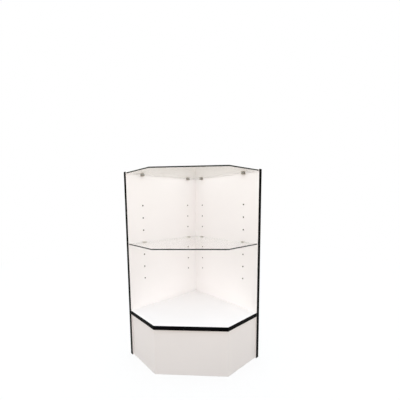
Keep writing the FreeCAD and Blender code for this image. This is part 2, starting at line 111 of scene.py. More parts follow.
def colour(name, description, red, green, blue):
    return FloatVectorProperty(name=name, description=description, default=(red, green, blue), size=3,
                               min=0, max=1, subtype="COLOR")


def position(name, description, x, y, z):
    return FloatVectorProperty(name=name, description=description, default=(x, y, z), size=3,
                               subtype="TRANSLATION", unit="LENGTH")


def rotation(name, description, x, y, z):
    """A turn about each axis, given in degrees."""
    angles = tuple(math.radians(angle) for angle in (x, y, z))
    return FloatVectorProperty(name=name, description=description, default=angles, size=3,
                               subtype="EULER", unit="ROTATION")


class CaseGlass(bpy.types.PropertyGroup):
    """Sizes of the panes' worked edges"""
    corner_radius: length("Corner radius", "Rounding of the panes' upright corners", 2)
    arris: length("Arris", "Width of the ground bevel along the panes' edges", 0.8)


class CaseHoles(bpy.types.PropertyGroup):
    """Sizes of the columns of shelf holes"""
    front_column: length("Front column", "Distance of the front holes from the outer back corner", 412)
    back_column: length("Back column", "Distance of the back holes from the outer back corner", 87)
    radius: length("Radius", "Radius of a shelf hole", 3.175)
    chipping: length("Chipping", "How far the white face is chipped away round a hole", 2)
    pitch: length("Pitch", "Distance from hole to hole up a column", 68.6)
    top_height: length("Top height", "Height of the highest holes", 839)
    rows: count("Rows", "Holes in a column", 7, least=1)


class CaseClips(bpy.types.PropertyGroup):
    """Sizes of the clips that hold the glass, from the wall's face and the middle of the glass"""
    width: length("Width", "Width of a clip along the wall", 18)
    depth: length("Depth", "Reach of a clip from the wall", 20)
    spine: length("Spine", "Thickness of the clip's back", 3.5)
    top: length("Top", "Height of the upper jaw's top above the middle of the glass", 6.8)
    upper_jaw: length("Upper jaw", "Thickness of the upper jaw", 2.8)
    drop: length("Drop", "Depth of the lower jaw's underside below the middle of the glass", 10)
    lower_jaw: length("Lower jaw", "Thickness of the lower jaw", 5)
    edge_radius: length("Edge radius", "Rounding of the casting's edges", 0.6)
    pin_radius: length("Pin radius", "Radius of the pin in the wall", 3.075)
    pin_length: length("Pin length", "Length of the pin in the wall", 10)
    screw_reach: length("Screw reach", "Distance of the set screw from the wall's face", 11)
    screw_radius: length("Screw radius", "Radius of the set screw", 2.5)
    screw_sink: length("Screw sink", "How far the set screw sits inside the lower jaw", 0.5)
    socket_radius: length("Socket radius", "Radius of the set screw's six-sided socket", 1.4)
    socket_depth: length("Socket depth", "Depth of the set screw's socket", 2.5)
    hole_clearance: length("Hole clearance", "Clearance round the set screw", 0.1)
    pad_start: length("Pad start", "Distance of the pads' back edge from the wall's face", 5)
    pad_end: length("Pad end", "Distance of the pads' front edge from the wall's face", 15)
    pad_width: length("Pad width", "Width of the pads along the wall", 15)
    pad_thickness: length("Pad thickness", "Thickness of the upper pad", 0.8)
    lower_pad_thickness: length("Lower pad thickness", "Thickness of the lower pad", 1.5)
    pad_corner: length("Pad corner", "Rounding of the pads' upright corners", 2)
    fine_edge: length("Fine edge", "Rounding of the edges of the pads and the set screws", 0.2)


class CaseScrews(bpy.types.PropertyGroup):
    """Sizes of the screws that hold the boards together"""
    head_radius: length("Head radius", "Radius of a pan head", 4)
    head_height: length("Head height", "Height of a pan head", 2.5)
    head_dome: length("Head dome", "Rounding of a pan head's rim", 1.6)
    cross_length: length("Cross length", "Length of each slot of the cross recess", 4.4)
    cross_width: length("Cross width", "Width of each slot of the cross recess", 0.9)
    cross_depth: length("Cross depth", "Depth of the cross recess", 1.3)
    core_radius: length("Core radius", "Radius at the root of the thread", 1.35)
    thread_radius: length("Thread radius", "Radius at the crest of the thread", 1.9)
    pitch: length("Pitch", "Distance from crest to crest of the thread", 1.8)
    short_length: length("Short screw", "Length of the screws in the deck cleats and the kick ends", 32)
    long_length: length("Long screw", "Length of the screws into the deck and through the kick cleats", 50)
    end_distance: length("End distance", "Distance of a deck cleat's outer screws from its ends", 60)
    cleat_screws: count("Cleat screws", "Screws along a deck cleat", 3, least=2)
    joint_screws: count("Joint screws", "Screws up the back corner", 4, least=2)
    joint_head_radius: length("Joint head radius", "Radius of the flush heads in the back corner", 4.5)
    joint_head_height: length("Joint head height", "Height of the flush heads in the back corner", 3)
    joint_head_edge: length("Joint head edge", "Rounding of the flush heads' rims", 0.4)
    joint_socket_radius: length("Joint socket radius", "Radius of the flush heads' six-sided sockets", 2.3)
    joint_socket_depth: length("Joint socket depth", "Depth of the flush heads' sockets", 2)
    joint_core_radius: length("Joint core", "Radius at the root of the joint screws' thread", 1.8)
    joint_thread_radius: length("Joint thread", "Radius at the crest of the joint screws' thread", 2.4)
    joint_pitch: length("Joint pitch", "Distance from crest to crest of the joint screws' thread", 3)
    joint_length: length("Joint screw length", "Length of the joint screws with their heads", 50)


class CaseFinishes(bpy.types.PropertyGroup):
    """Colours of the finishes"""
    board_white: colour("Board white", "White melamine face of the boards", 0.915, 0.878, 0.866)
    trim_black: colour("Trim black", "Black extruded edge moulding", 0.0016, 0.0016, 0.0018)
    glass_tint: colour("Glass tint", "Clear float glass", 0.99, 0.996, 0.992)
    # The front edges' near-black colour is painted shade and reflection, in place of what a polished glass
    # edge shows
    glass_front_shade: colour("Glass front edge", "Polished front edges of the glass", 0.012, 0.018, 0.016)
    glass_back: colour("Glass back edge", "Ground back edges of the glass, at the walls", 0.78, 0.79, 0.77)
    chipboard: colour("Chipboard", "Raw core of the boards in cut edges", 0.42, 0.3, 0.19)
    # The hole shade is painted shade: near black in the bores and on the chipped rims, where the recess is
    # dark
    hole_shade: colour("Hole shade", "Dusty bores and chipped rims of the shelf holes", 0.05, 0.035, 0.025)
    nickel: colour("Nickel", "Satin nickel plate of the shelf's clips", 0.9, 0.87, 0.82)
    # The shaded nickel is the same nickel plate as on the shelf's clips, painted darker as shade because the
    # top's clips are seen from below
    shaded_nickel: colour("Dark nickel", "Dull nickel plate of the top's clips", 0.42, 0.385, 0.33)
    zinc: colour("Zinc", "Zinc plate of the screws", 0.58, 0.58, 0.56)
    pad_grey: colour("Pad grey", "Soft pads in the clips", 0.45, 0.45, 0.43)
    pine_pale: colour("Pale pine", "Early wood of the cleats and blocks", 0.66, 0.47, 0.27)
    pine_dark: colour("Dark pine", "Late wood of the cleats and blocks", 0.5, 0.31, 0.15)


class CaseStage(bpy.types.PropertyGroup):
    """Camera, floor and light"""
    camera_place: position("Camera place", "Where the camera stands", 0.95664, -0.83001, 0.829)
    camera_turn: rotation("Camera turn", "How the camera is turned", 83.9096, 0.6354, 48.7292)
    lens: number("Lens", "Focal length on the default sensor", 21.5136, unit="CAMERA")
    shift_x: number("Shift across", "Camera shift across the picture", 0.01703)
    shift_y: number("Shift up", "Camera shift up the picture", 0.08093)
    floor_span: number("Floor span", "Width of the floor", 7, unit="LENGTH")
    floor_drop: length("Floor drop", "How far the floor lies below the case", 0.2)
    floor_white: colour("Floor white", "Pale floor as the camera sees it", 0.9, 0.9, 0.9)
    floor_tone: colour("Floor tone", "Floor that lights the case from below", 0.08, 0.04, 0.012)
    floor_share: number("Floor share", "Share of plain white that hides the floor's shading", 0.84,
                        min=0, max=1, subtype="FACTOR")
    room_white: colour("Room light", "Soft light from all round, at eye level", 1, 0.956, 0.91)
    room_over: colour("Room light above", "Soft light from straight above, as a share of that at eye level",
                      0.338, 0.41, 0.465)
    room_strength: number("Room strength", "Strength of the light at eye level", 1.98)
    room_seen: colour("Room seen", "Pale room that shows in glass and metal", 0.48, 0.44, 0.37)
    key_power: number("Key power", "Power of the large lamp overhead", 8, unit="POWER")
    key_span: number("Key span", "Width of the large lamp overhead", 2.4, unit="LENGTH")
    key_place: position("Key place", "Where the large lamp hangs", 0.35, -0.35, 2.8)
    key_turn: rotation("Key turn", "How the large lamp is turned", 10, 0, 45)


# Shader nodes

def new_finish(name):
    finish = bpy.data.materials.new(name)
    finish.use_nodes = True
    return finish, finish.node_tree, finish.node_tree.nodes["Principled BSDF"]


def adjust(node, settings):
    """Sets a node's sockets by their labels."""
    for label, setting in settings.items():
        node.inputs[label].default_value = setting


def feed(tree, socket, value):
    """Sets a socket to a number, or links another socket to it."""
    if isinstance(value, (int, float)):
        socket.default_value = value
    else:
        tree.links.new(value, socket)


def own_place(tree):
    """A point's place in the piece's own coordinates, in metres."""
    return tree.nodes.new("ShaderNodeTexCoord").outputs["Object"]


def noise(tree, scale, detail, roughness=0.5, distortion=0, stretch=(1, 1, 1)):
    """Noise on the piece's own coordinates, with its scale per metre."""
    mapping = tree.nodes.new("ShaderNodeMapping")
    adjust(mapping, {"Scale": stretch})
    texture = tree.nodes.new("ShaderNodeTexNoise")
    adjust(texture, {"Scale": scale, "Detail": detail, "Roughness": roughness, "Distortion": distortion})
    tree.links.new(own_place(tree), mapping.inputs["Vector"])
    tree.links.new(mapping.outputs["Vector"], texture.inputs["Vector"])
    return texture.outputs[0]


def between(tree, source, low, high):
    """Spreads the middle values of a texture over a range."""
    spread = tree.nodes.new("ShaderNodeMapRange")
    adjust(spread, {"From Min": 0.3, "From Max": 0.7, "To Min": low, "To Max": high})
    tree.links.new(source, spread.inputs["Value"])
    return spread.outputs["Result"]


def shades(tree, source, first, second, low=0.35, high=0.65):
    """Turns values from low to high into shades from one colour to another."""
    ramp = tree.nodes.new("ShaderNodeValToRGB")
    for stop, value, shade in zip(ramp.color_ramp.elements, (low, high), (first, second)):
        stop.position = value
        stop.color = (*shade, 1)
    tree.links.new(source, ramp.inputs["Fac"])
    return ramp.outputs["Color"]


def scaled(shade, share):
    return tuple(part * share for part in shade)


def blend(tree, share, first, second):
    """Mixes two colours by a share."""
    mix = tree.nodes.new("ShaderNodeMix")
    mix.data_type = "RGBA"
    tree.links.new(share, mix.inputs["Factor"])
    tree.links.new(first, mix.inputs["A"])
    tree.links.new(second, mix.inputs["B"])
    return mix.outputs["Result"]


def choose(tree, share, first, second):
    """Mixes two shaders by a share."""
    mix = tree.nodes.new("ShaderNodeMixShader")
    feed(tree, mix.inputs["Fac"], share)
    tree.links.new(first, mix.inputs[1])
    tree.links.new(second, mix.inputs[2])
    return mix.outputs["Shader"]


def calc(tree, operation, *values):
    """One step of arithmetic on sockets and numbers."""
    node = tree.nodes.new("ShaderNodeMath")
    node.operation = operation
    for socket, value in zip(node.inputs, values):
        feed(tree, socket, value)
    return node.outputs["Value"]


def rays_of(tree, first, *others):
    """Tells whether a ray is of one of the kinds that are named."""
    path = tree.nodes.new("ShaderNodeLightPath")
    answer = path.outputs[f"Is {first} Ray"]
    for kind in others:
        answer = calc(tree, "MAXIMUM", answer, path.outputs[f"Is {kind} Ray"])
    return answer


def tint(tree, shader, texture, dark, pale, low=0.35, high=0.65):
    """Lets a finish's colour wander between two shades."""
    tree.links.new(shades(tree, texture, dark, pale, low, high), shader.inputs["Base Color"])


def satin(tree, shader, texture, low, high):
    """Lets a finish's roughness wander between two values."""
    tree.links.new(between(tree, texture, low, high), shader.inputs["Roughness"])


def relief(tree, shader, texture, strength, depth):
    """Raises a finish's surface by a texture."""
    bump = tree.nodes.new("ShaderNodeBump")
    adjust(bump, {"Strength": strength, "Distance": depth})
    tree.links.new(texture, bump.inputs["Height"])
    tree.links.new(bump.outputs["Normal"], shader.inputs["Normal"])


# Finishes

def board_depth(tree, node, inward):
    """The place of a point through a board, from the board's middle, and half the board's thickness."""
    places = [vertex.co.dot(inward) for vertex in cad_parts[node].data.vertices]
    low, high = min(places), max(places)
    through = tree.nodes.new("ShaderNodeVectorMath")
    through.operation = "DOT_PRODUCT"
    through.inputs[1].default_value = inward
    tree.links.new(own_place(tree), through.inputs[0])
    return calc(tree, "SUBTRACT", through.outputs["Value"], (low + high) / 2), (high - low) / 2


def hole_mask(tree, holes, run):
    """Finds the bores and the chipped rims of the shelf holes, in two columns on a wall."""
    split = tree.nodes.new("ShaderNodeSeparateXYZ")
    tree.links.new(own_place(tree), split.inputs["Vector"])
    back, sign = (OUTER_CORNER_X, 1) if run == "X" else (OUTER_CORNER_Y, -1)
    across = []
    for column in (holes.front_column, holes.back_column):
        from_column = calc(tree, "SUBTRACT", split.outputs[run], back + sign * column)
        across.append(calc(tree, "ABSOLUTE", from_column))
    nearest = calc(tree, "MINIMUM", *across)
    middle_height = holes.top_height - holes.pitch * (holes.rows - 1) / 2
    from_middle = calc(tree, "SUBTRACT", split.outputs["Z"], middle_height)
    up = calc(tree, "WRAP", from_middle, holes.pitch / 2, -holes.pitch / 2)
    squares = [calc(tree, "POWER", side, 2) for side in (nearest, up)]
    reach = calc(tree, "SQRT", calc(tree, "ADD", *squares))
    ragged = calc(tree, "MULTIPLY_ADD", noise(tree, scale=900, detail=2), holes.chipping, holes.radius)
    in_hole = calc(tree, "LESS_THAN", reach, ragged)
    in_rows = calc(tree, "LESS_THAN", calc(tree, "ABSOLUTE", from_middle), holes.pitch * holes.rows / 2)
    return calc(tree, "MULTIPLY", in_hole, in_rows)


def board_finish(node, finishes, inward, holes=None, run=None):
    """Melamine-faced chipboard: satin faces with a fine pearl relief, raw chips in cut edges, and painted
    shade in the holes.
    """
    white, chip, bore_shade = finishes.board_white, finishes.chipboard, finishes.hole_shade
    finish, tree, shader = new_finish(f"white_melamine_{node}")
    clouds = shades(tree, noise(tree, scale=2.5, detail=3), scaled(white, 0.985), scaled(white, 1.01))
    grains = noise(tree, scale=420, detail=5, roughness=0.7)
    chips = shades(tree, grains, scaled(chip, 0.6), scaled(chip, 1.25))
    depth, half = board_depth(tree, node, inward)
    raw = calc(tree, "LESS_THAN", calc(tree, "ABSOLUTE", depth), half - FACE_SKIN)
    tone = blend(tree, raw, clouds, chips)
    # The bores and chipped rims of the shelf holes are painted near black as shade in the recess
    if holes:
        inner_side = calc(tree, "GREATER_THAN", depth, 0)
        bored = calc(tree, "MULTIPLY", hole_mask(tree, holes, run), inner_side)
        tone = blend(tree, bored, tone, shades(tree, grains, scaled(bore_shade, 0.6), scaled(bore_shade, 1.4)))
    tree.links.new(tone, shader.inputs["Base Color"])
    satin(tree, shader, noise(tree, scale=30, detail=4), low=0.32, high=0.42)
    relief(tree, shader, noise(tree, scale=900, detail=2), strength=0.08, depth=0.2 * MM)
    adjust(shader, {"Specular IOR Level": 0.3})
    return finish


def band_finish(name, white):
    """White edge band, a little duller than the boards' faces."""
    finish, tree, shader = new_finish(name)
    tint(tree, shader, noise(tree, scale=6, detail=3), dark=scaled(white, 0.975), pale=white)
    satin(tree, shader, noise(tree, scale=50, detail=4), low=0.34, high=0.46)
    relief(tree, shader, noise(tree, scale=400, detail=2), strength=0.08, depth=0.15 * MM)
    return finish


def trim_finish(name, black, stretch):
    """Black extruded plastic with faint draw lines along its run and soft handling marks."""
    finish, tree, shader = new_finish(name)
    marks = noise(tree, scale=14, detail=6, roughness=0.65)
    tint(tree, shader, marks, dark=black, pale=scaled(black, 2), low=0.45, high=0.8)
    satin(tree, shader, noise(tree, scale=40, detail=3), low=0.4, high=0.55)
    relief(tree, shader, noise(tree, scale=1, detail=2, stretch=stretch), strength=0.1, depth=0.15 * MM)
    adjust(shader, {"Specular IOR Level": 0.03})
    return finish


def pine_finish(name, pale, dark, stretch):
    """Planed softwood with grain along the piece."""
    finish, tree, shader = new_finish(name)
    grain = noise(tree, scale=1, detail=5, roughness=0.6, distortion=0.6, stretch=stretch)
    tint(tree, shader, grain, dark, pale, low=0.38, high=0.6)
    satin(tree, shader, grain, low=0.55, high=0.7)
    relief(tree, shader, grain, strength=0.25, depth=0.3 * MM)
    return finish


def metal_finish(name, base, rough, grain_scale):
    """Plated metal with a soft uneven sheen."""
    finish, tree, shader = new_finish(name)
    adjust(shader, {"Metallic": 1})
    tint(tree, shader, noise(tree, scale=120, detail=4), dark=scaled(base, 0.85), pale=scaled(base, 1.1))
    satin(tree, shader, noise(tree, scale=300, detail=3), low=rough, high=rough + 0.14)
    relief(tree, shader, noise(tree, scale=grain_scale, detail=2), strength=0.06, depth=0.05 * MM)
    return finish


def rubber_finish(name, grey):
    """Soft matt rubber with a fine moulded grain."""
    finish, tree, shader = new_finish(name)
    tint(tree, shader, noise(tree, scale=200, detail=4), dark=scaled(grey, 0.8), pale=scaled(grey, 1.15))
    satin(tree, shader, noise(tree, scale=350, detail=2), low=0.65, high=0.85)
    relief(tree, shader, noise(tree, scale=1500, detail=2), strength=0.2, depth=0.1 * MM)
    return finish


def glass_finish(name, tone):
    """Clear float glass that lets lamps and soft light through, with faint wipe marks in its gloss."""
    finish, tree, shader = new_finish(name)
    adjust(shader, {"Base Color": (*tone, 1), "Transmission Weight": 1, "IOR": 1.52})
    satin(tree, shader, noise(tree, scale=9, detail=5, stretch=(1, 3, 1)), low=0, high=0.012)
    clear = tree.nodes.new("ShaderNodeBsdfTransparent")
    adjust(clear, {"Color": (*tone, 1)})
    lighting = rays_of(tree, "Shadow", "Diffuse")
    shown = choose(tree, lighting, shader.outputs["BSDF"], clear.outputs["BSDF"])
    tree.links.new(shown, tree.nodes["Material Output"].inputs["Surface"])
    return finish


def glass_edge_finish(name, tone, rough):
    """A worked edge of the glass, with a fixed colour painted in for the light and shade that the depth of
    glass behind it gives.
    """
    finish, tree, shader = new_finish(name)
    tint(tree, shader, noise(tree, scale=60, detail=4), dark=scaled(tone, 0.8), pale=scaled(tone, 1.15))
    satin(tree, shader, noise(tree, scale=500, detail=2), low=rough, high=rough + 0.15)
    relief(tree, shader, noise(tree, scale=2500, detail=1), strength=0.1, depth=0.05 * MM)
    return finish


def dress(finish, *nodes):
    """Gives CAD nodes their finish."""
    for node in nodes:
        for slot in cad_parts[node].material_slots:
            slot.material = finish


def paint(piece, *finishes):
    """Gives a new piece its finishes, the first of them all over."""
    piece.data.materials.clear()
    for finish in finishes:
        piece.data.materials.append(finish)


# Modelling

def begin():
    """Leaves nothing selected, so that the next operator acts on new geometry alone."""
    bpy.ops.object.select_all(action="DESELECT")


def take(piece):
    """Selects one piece and makes it the active one."""
    begin()
    piece.select_set(True)
    bpy.context.view_layer.objects.active = piece


def settle():
    """Puts the selected piece's place, turn and size into its mesh."""
    bpy.ops.object.transform_apply(location=True, rotation=True, scale=True)


def block(low, high):
    """A box between two corners."""
    begin()
    bpy.ops.mesh.primitive_cube_add(size=1, location=[(a + b) / 2 for a, b in zip(low, high)])
    piece = bpy.context.object
    piece.scale = [b - a for a, b in zip(low, high)]
    settle()
    return piece


def rod(radius, start, end, sides, centre=(0, 0), turn=(0, 0, 0)):
    """A round or many-sided bar up the z axis, or turned about the origin."""
    begin()
    bpy.ops.mesh.primitive_cylinder_add(vertices=sides, radius=radius, depth=end - start,
                                        location=(*centre, (start + end) / 2))
    settle()
    piece = bpy.context.object
    piece.rotation_euler = turn
    settle()
    return piece


def edit(kind):
    """Opens the active piece's mesh, with everything in it selected."""
    bpy.ops.object.mode_set(mode="EDIT")
    bpy.ops.mesh.select_mode(type=kind)
    bpy.ops.mesh.select_all(action="SELECT")


def leave():
    bpy.ops.object.mode_set(mode="OBJECT")


def pick(elements, wanted):
    """In edit mode, selects the edges, faces or verts that a test accepts, and nothing else."""
    bpy.ops.mesh.select_all(action="DESELECT")
    mesh = bmesh.from_edit_mesh(bpy.context.object.data)
    found = [element for element in getattr(mesh, elements) if wanted(element)]
    if not found:
        raise RuntimeError(f"no {elements} to work on in {bpy.context.object.name}")
    for element in found:
        element.select_set(True)
    mesh.select_flush_mode()
    bmesh.update_edit_mesh(bpy.context.object.data)


def face_outwards():
    bpy.ops.mesh.select_all(action="SELECT")
    bpy.ops.mesh.normals_make_consistent(inside=False)


def upright(edge):
    """Whether an edge runs more up than across."""
    first, second = (vertex.co for vertex in edge.verts)
    return abs(first.z - second.z) > max(abs(first.x - second.x), abs(first.y - second.y))


def rim(edge):
    """Whether an edge runs between a level face and an upright one."""
    levels = [abs(face.normal.z) > FACING for face in edge.link_faces]
    return len(levels) == 2 and levels[0] != levels[1]


def carve(piece, tool, operation="DIFFERENCE"):
    """Cuts a tool from a piece, or unites the two, and puts the tool away."""
    take(piece)
    bpy.ops.object.modifier_add(type="BOOLEAN")
    modifier = piece.modifiers[-1]
    modifier.operation = operation
    modifier.object = tool
    bpy.ops.object.modifier_apply(modifier=modifier.name)
    discard(tool)


def soften(piece, width, segments):
    """Rounds every sharp edge of a piece."""
    take(piece)
    bpy.ops.object.modifier_add(type="BEVEL")
    modifier = piece.modifiers[-1]
    modifier.width = width
    modifier.segments = segments
    modifier.limit_method = "ANGLE"
    modifier.angle_limit = SHARP_ANGLE
    bpy.ops.object.modifier_apply(modifier=modifier.name)
    bpy.ops.object.shade_smooth_by_angle(angle=SMOOTH_ANGLE)


def unite(name, pieces):
    """Joins pieces into one named piece."""
    begin()
    for piece in pieces:
        piece.select_set(True)
    bpy.context.view_layer.objects.active = pieces[0]
    if len(pieces) > 1:
        bpy.ops.object.join()
    joined = bpy.context.object
    joined.name = joined.data.name = name
    return joined


def copies(master, places):
    """Copies of a master at their places and turns, each with its own mesh."""
    made = []
    for place, turn in places:
        take(master)
        bpy.ops.object.duplicate(linked=False)
        copy = bpy.context.object
        copy.location = place
        copy.rotation_euler = turn
        settle()
        made.append(copy)
    return made


def discard(*pieces):
    for piece in pieces:
        bpy.data.objects.remove(piece)


def hand_in(piece, body, slot, *nodes):
    """Ties a finished piece to its body and hides the CAD nodes that it stands for. The slot is not used."""
    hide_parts(*nodes)
    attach(piece, body)


def spaced(low, high, stations):
    return [low + (high - low) * index / (stations - 1) for index in range(stations)]


def middle(box, axis):
    return (box[0][axis] + box[1][axis]) / 2


# Glass

def half_glass():
    """Half the thickness of a pane."""
    low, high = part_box("glass_shelf")
    return (high.z - low.z) / 2


def pane(node, name, glass):
    """A five-sided pane cut from a square of plate, with nipped corners and ground edges."""
    low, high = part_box(node)
    diagonal = max(vertex.co.x - vertex.co.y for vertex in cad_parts[node].data.vertices)
    piece = block(low, high)
    edit("EDGE")
    bpy.ops.mesh.bisect(plane_co=(diagonal / 2, -diagonal / 2, low.z), plane_no=(1, -1, 0),
                        clear_outer=True, use_fill=True)
    pick("edges", upright)
    bpy.ops.mesh.bevel(offset=glass.corner_radius, segments=4, affect="EDGES")
    pick("edges", rim)
    bpy.ops.mesh.bevel(offset=glass.arris, segments=2, affect="EDGES")
    face_outwards()
    leave()
    piece.name = piece.data.name = name
    return piece


# Clips: drawn with the wall's face at x = 0, out of the wall along +x, and the middle of the glass at z = 0

def clip_places(holes, level):
    """Where the four clips of a level stand: on the left wall facing +x, and on the right wall facing -y."""
    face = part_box("left_wall_panel")[1].x - OUTER_CORNER_X
    places = []
    for column in (holes.front_column, holes.back_column):
        places.append(((OUTER_CORNER_X + face, OUTER_CORNER_Y - column, level), (0, 0, 0)))
    for column in (holes.front_column, holes.back_column):
        places.append(((OUTER_CORNER_X + column, OUTER_CORNER_Y - face, level), (0, 0, -QUARTER_TURN)))
    return places


def casting(clips):
    """A C-shaped clip with a half-round nose, a hole for its set screw and a pin at its back."""
    half, jaw_reach = clips.width / 2, clips.depth - clips.spine
    lower_top, upper_under = clips.lower_jaw - clips.drop, clips.top - clips.upper_jaw
    piece = block((0, -half, -clips.drop), (clips.spine, half, clips.top))
    edit("FACE")
    for height in (lower_top, upper_under):
        bpy.ops.mesh.select_all(action="SELECT")
        bpy.ops.mesh.bisect(plane_co=(0, 0, height), plane_no=(0, 0, 1))
    for under, top in ((-clips.drop, lower_top), (upper_under, clips.top)):
        pick("faces", lambda face: face.normal.x > FACING and under < face.calc_center_median().z < top)
        bpy.ops.mesh.extrude_region_move(TRANSFORM_OT_translate={"value": (jaw_reach, 0, 0)})
    bpy.ops.mesh.select_mode(type="EDGE")
    pick("edges", lambda edge: upright(edge) and all(vertex.co.x > jaw_reach for vertex in edge.verts))
    bpy.ops.mesh.bevel(offset=half * NOSE_SHARE, segments=14, affect="EDGES")
    face_outwards()
    leave()
    hole = rod(clips.screw_radius + clips.hole_clearance, -2 * clips.drop, lower_top + clips.hole_clearance,
               sides=32, centre=(clips.screw_reach, 0))
    carve(piece, hole)
    pin = rod(clips.pin_radius, -clips.pin_length, clips.spine / 2, sides=32, turn=(0, QUARTER_TURN, 0))
    carve(piece, pin, "UNION")
    soften(piece, clips.edge_radius, segments=3)
    return piece


def set_screw(clips):
    """A set screw with a six-sided socket in its lower end."""
    end, tip = clips.screw_sink - clips.drop, -half_glass() - clips.lower_pad_thickness
    centre = (clips.screw_reach, 0)
    piece = rod(clips.screw_radius, end, tip, sides=32, centre=centre)
    socket = rod(clips.socket_radius, end - clips.socket_depth, end + clips.socket_depth,
                 sides=6, centre=centre)
    carve(piece, socket)
    soften(piece, clips.fine_edge, segments=2)
    return piece


def pads(clips):
    """The soft pads above and below the glass, with rounded corners."""
    half, jaw_under, glass_under = clips.pad_width / 2, clips.top - clips.upper_jaw, -half_glass()
    heights = (
        (jaw_under - clips.pad_thickness, jaw_under),
        (glass_under - clips.lower_pad_thickness, glass_under),
    )
    made = []
    for low, high in heights:
        piece = block((clips.pad_start, -half, low), (clips.pad_end, half, high))
        edit("EDGE")
        pick("edges", upright)
        bpy.ops.mesh.bevel(offset=clips.pad_corner, segments=5, affect="EDGES")
        leave()
        soften(piece, clips.fine_edge, segments=2)
        made.append(piece)
    return unite("pad_pair", made)


# Screws: drawn with the face that they go into at z = 0 and the tip up the z axis

INTO = {
    "-x": (0, -QUARTER_TURN, 0),
    "+x": (0, QUARTER_TURN, 0),
    "-y": (QUARTER_TURN, 0, 0),
    "+y": (-QUARTER_TURN, 0, 0),
    "+z": (0, 0, 0),
}


def ridged_shank(core, crest, start, end, pitch):
    """A shank with a ridge at each turn of its thread and a point at its tip."""
    turns = int((end - start) / pitch)
    step = (end - start) / (2 * turns)
    piece = rod(core, start, end, sides=14)
    edit("EDGE")
    pick("edges", upright)
    bpy.ops.mesh.subdivide(number_cuts=2 * turns - 1)
    bpy.ops.mesh.select_mode(type="VERT")
    pick("verts", lambda vertex: round((vertex.co.z - start) / step) % 2 == 1)
    bpy.ops.transform.resize(value=(crest / core, crest / core, 1))
    pick("verts", lambda vertex: vertex.co.z > end - step / 2)
    bpy.ops.transform.resize(value=(TIP_SHARE, TIP_SHARE, 1), center_override=(0, 0, end))
    leave()
    return piece


def pan_screw(screws, end):
    """A pan-head screw with a cross recess."""
    outside = -screws.head_height
    head = rod(screws.head_radius, outside, 0, sides=40)
    edit("EDGE")
    pick("edges", lambda edge: rim(edge) and edge.verts[0].co.z < outside / 2)
    bpy.ops.mesh.bevel(offset=screws.head_dome, segments=6, affect="EDGES")
    leave()
    slot = (screws.cross_length, screws.cross_width)
    for across, along in (slot, slot[::-1]):
        carve(head, block((-across / 2, -along / 2, outside - screws.cross_depth),
                          (across / 2, along / 2, outside + screws.cross_depth)))
    take(head)
    bpy.ops.object.shade_smooth_by_angle(angle=SMOOTH_ANGLE)
    shank = ridged_shank(screws.core_radius, screws.thread_radius, 0, end, screws.pitch)
    return unite("pan_screw", [head, shank])


def joint_screw(screws):
    """A joint screw with a flush head and a six-sided socket."""
    head = rod(screws.joint_head_radius, 0, screws.joint_head_height, sides=48)
    socket = rod(screws.joint_socket_radius, -screws.joint_socket_depth, screws.joint_socket_depth, sides=6)
    carve(head, socket)
    soften(head, screws.joint_head_edge, segments=2)
    shank = ridged_shank(screws.joint_core_radius, screws.joint_thread_radius, screws.joint_head_height,
                         screws.joint_length, screws.joint_pitch)
    return unite("joint_screw", [head, shank])


def joint_places(screws):
    """The screws up the back corner."""
    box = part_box("wall_joint_screws")
    heights = spaced(box[0].z + screws.joint_head_radius, box[1].z - screws.joint_head_radius,
                     screws.joint_screws)
    return [((box[0].x, middle(box, 1), height), INTO["+x"]) for height in heights]


# In the next two, run is the axis along a cleat or kick end and out the axis from the wall, both as 0 for x
# and 1 for y. A face is 0 at the low side of the cleat's box and 1 at the high side.

def deck_cleat_places(screws):
    """The screws that hold the deck cleats to the walls, and those that hold the deck to the cleats."""
    to_wall, to_deck = [], []
    for node, run, out, face, way in (
            ("left_deck_cleat", 1, 0, 1, "-x"),
            ("right_deck_cleat", 0, 1, 0, "+y")):
        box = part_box(node)
        stations = spaced(box[0][run] + screws.end_distance, box[1][run] - screws.end_distance,
                          screws.cleat_screws)
        for station in stations:
            place = [0, 0, middle(box, 2)]
            place[run], place[out] = station, box[face][out]
            to_wall.append((place, INTO[way]))
        for first, second in zip(stations, stations[1:]):
            place = [0, 0, box[0].z]
            place[run], place[out] = (first + second) / 2, middle(box, out)
            to_deck.append((place, INTO["+z"]))
    return to_wall, to_deck


def kick_cleat_places():
    """The screws through the kick cleats into the walls, and those into the ends of the kick."""
    to_wall, to_kick = [], []
    for node, run, out, wall_face, wall_way, kick_face, kick_way in (
            ("left_kick_cleat", 1, 0, 1, "-x", 1, "-y"),
            ("right_kick_cleat", 0, 1, 0, "+y", 0, "+x")):
        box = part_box(node)
        height = box[1].z - box[0].z
        for share in WALL_SHARES:
            place = [0, 0, box[0].z + share * height]
            place[out], place[run] = box[wall_face][out], middle(box, run)
            to_wall.append((place, INTO[wall_way]))
        for share in KICK_SHARES:
            place = [0, 0, box[0].z + share * height]
            place[run], place[out] = box[kick_face][run], middle(box, out)
            to_kick.append((place, INTO[kick_way]))
    return to_wall, to_kick


# Operators

class CASE_OT_boards(bpy.types.Operator):
    """Gives the boards and their edge bands a white melamine finish"""
    bl_idname = "case.boards"
    bl_label = "Boards"

    def execute(self, context):
        finishes, holes = context.scene.case_finishes, context.scene.case_holes
        dress(board_finish("left_wall_panel", finishes, Vector((1, 0, 0)), holes, "Y"), "left_wall_panel")
        dress(board_finish("right_wall_panel", finishes, Vector((0, -1, 0)), holes, "X"), "right_wall_panel")
        through = {
            "deck_panel": Vector((0, 0, 1)),
            "front_kick_panel": Vector((1, -1, 0)).normalized(),
            "left_kick_panel": Vector((0, 1, 0)),
            "right_kick_panel": Vector((1, 0, 0)),
        }
        for node, direction in through.items():
            dress(board_finish(node, finishes, direction), node)
        bands = band_finish("white_edge_band", finishes.board_white)
        dress(bands, "left_wall_top_band", "right_wall_top_band", "left_wall_back_band")
        return {"FINISHED"}


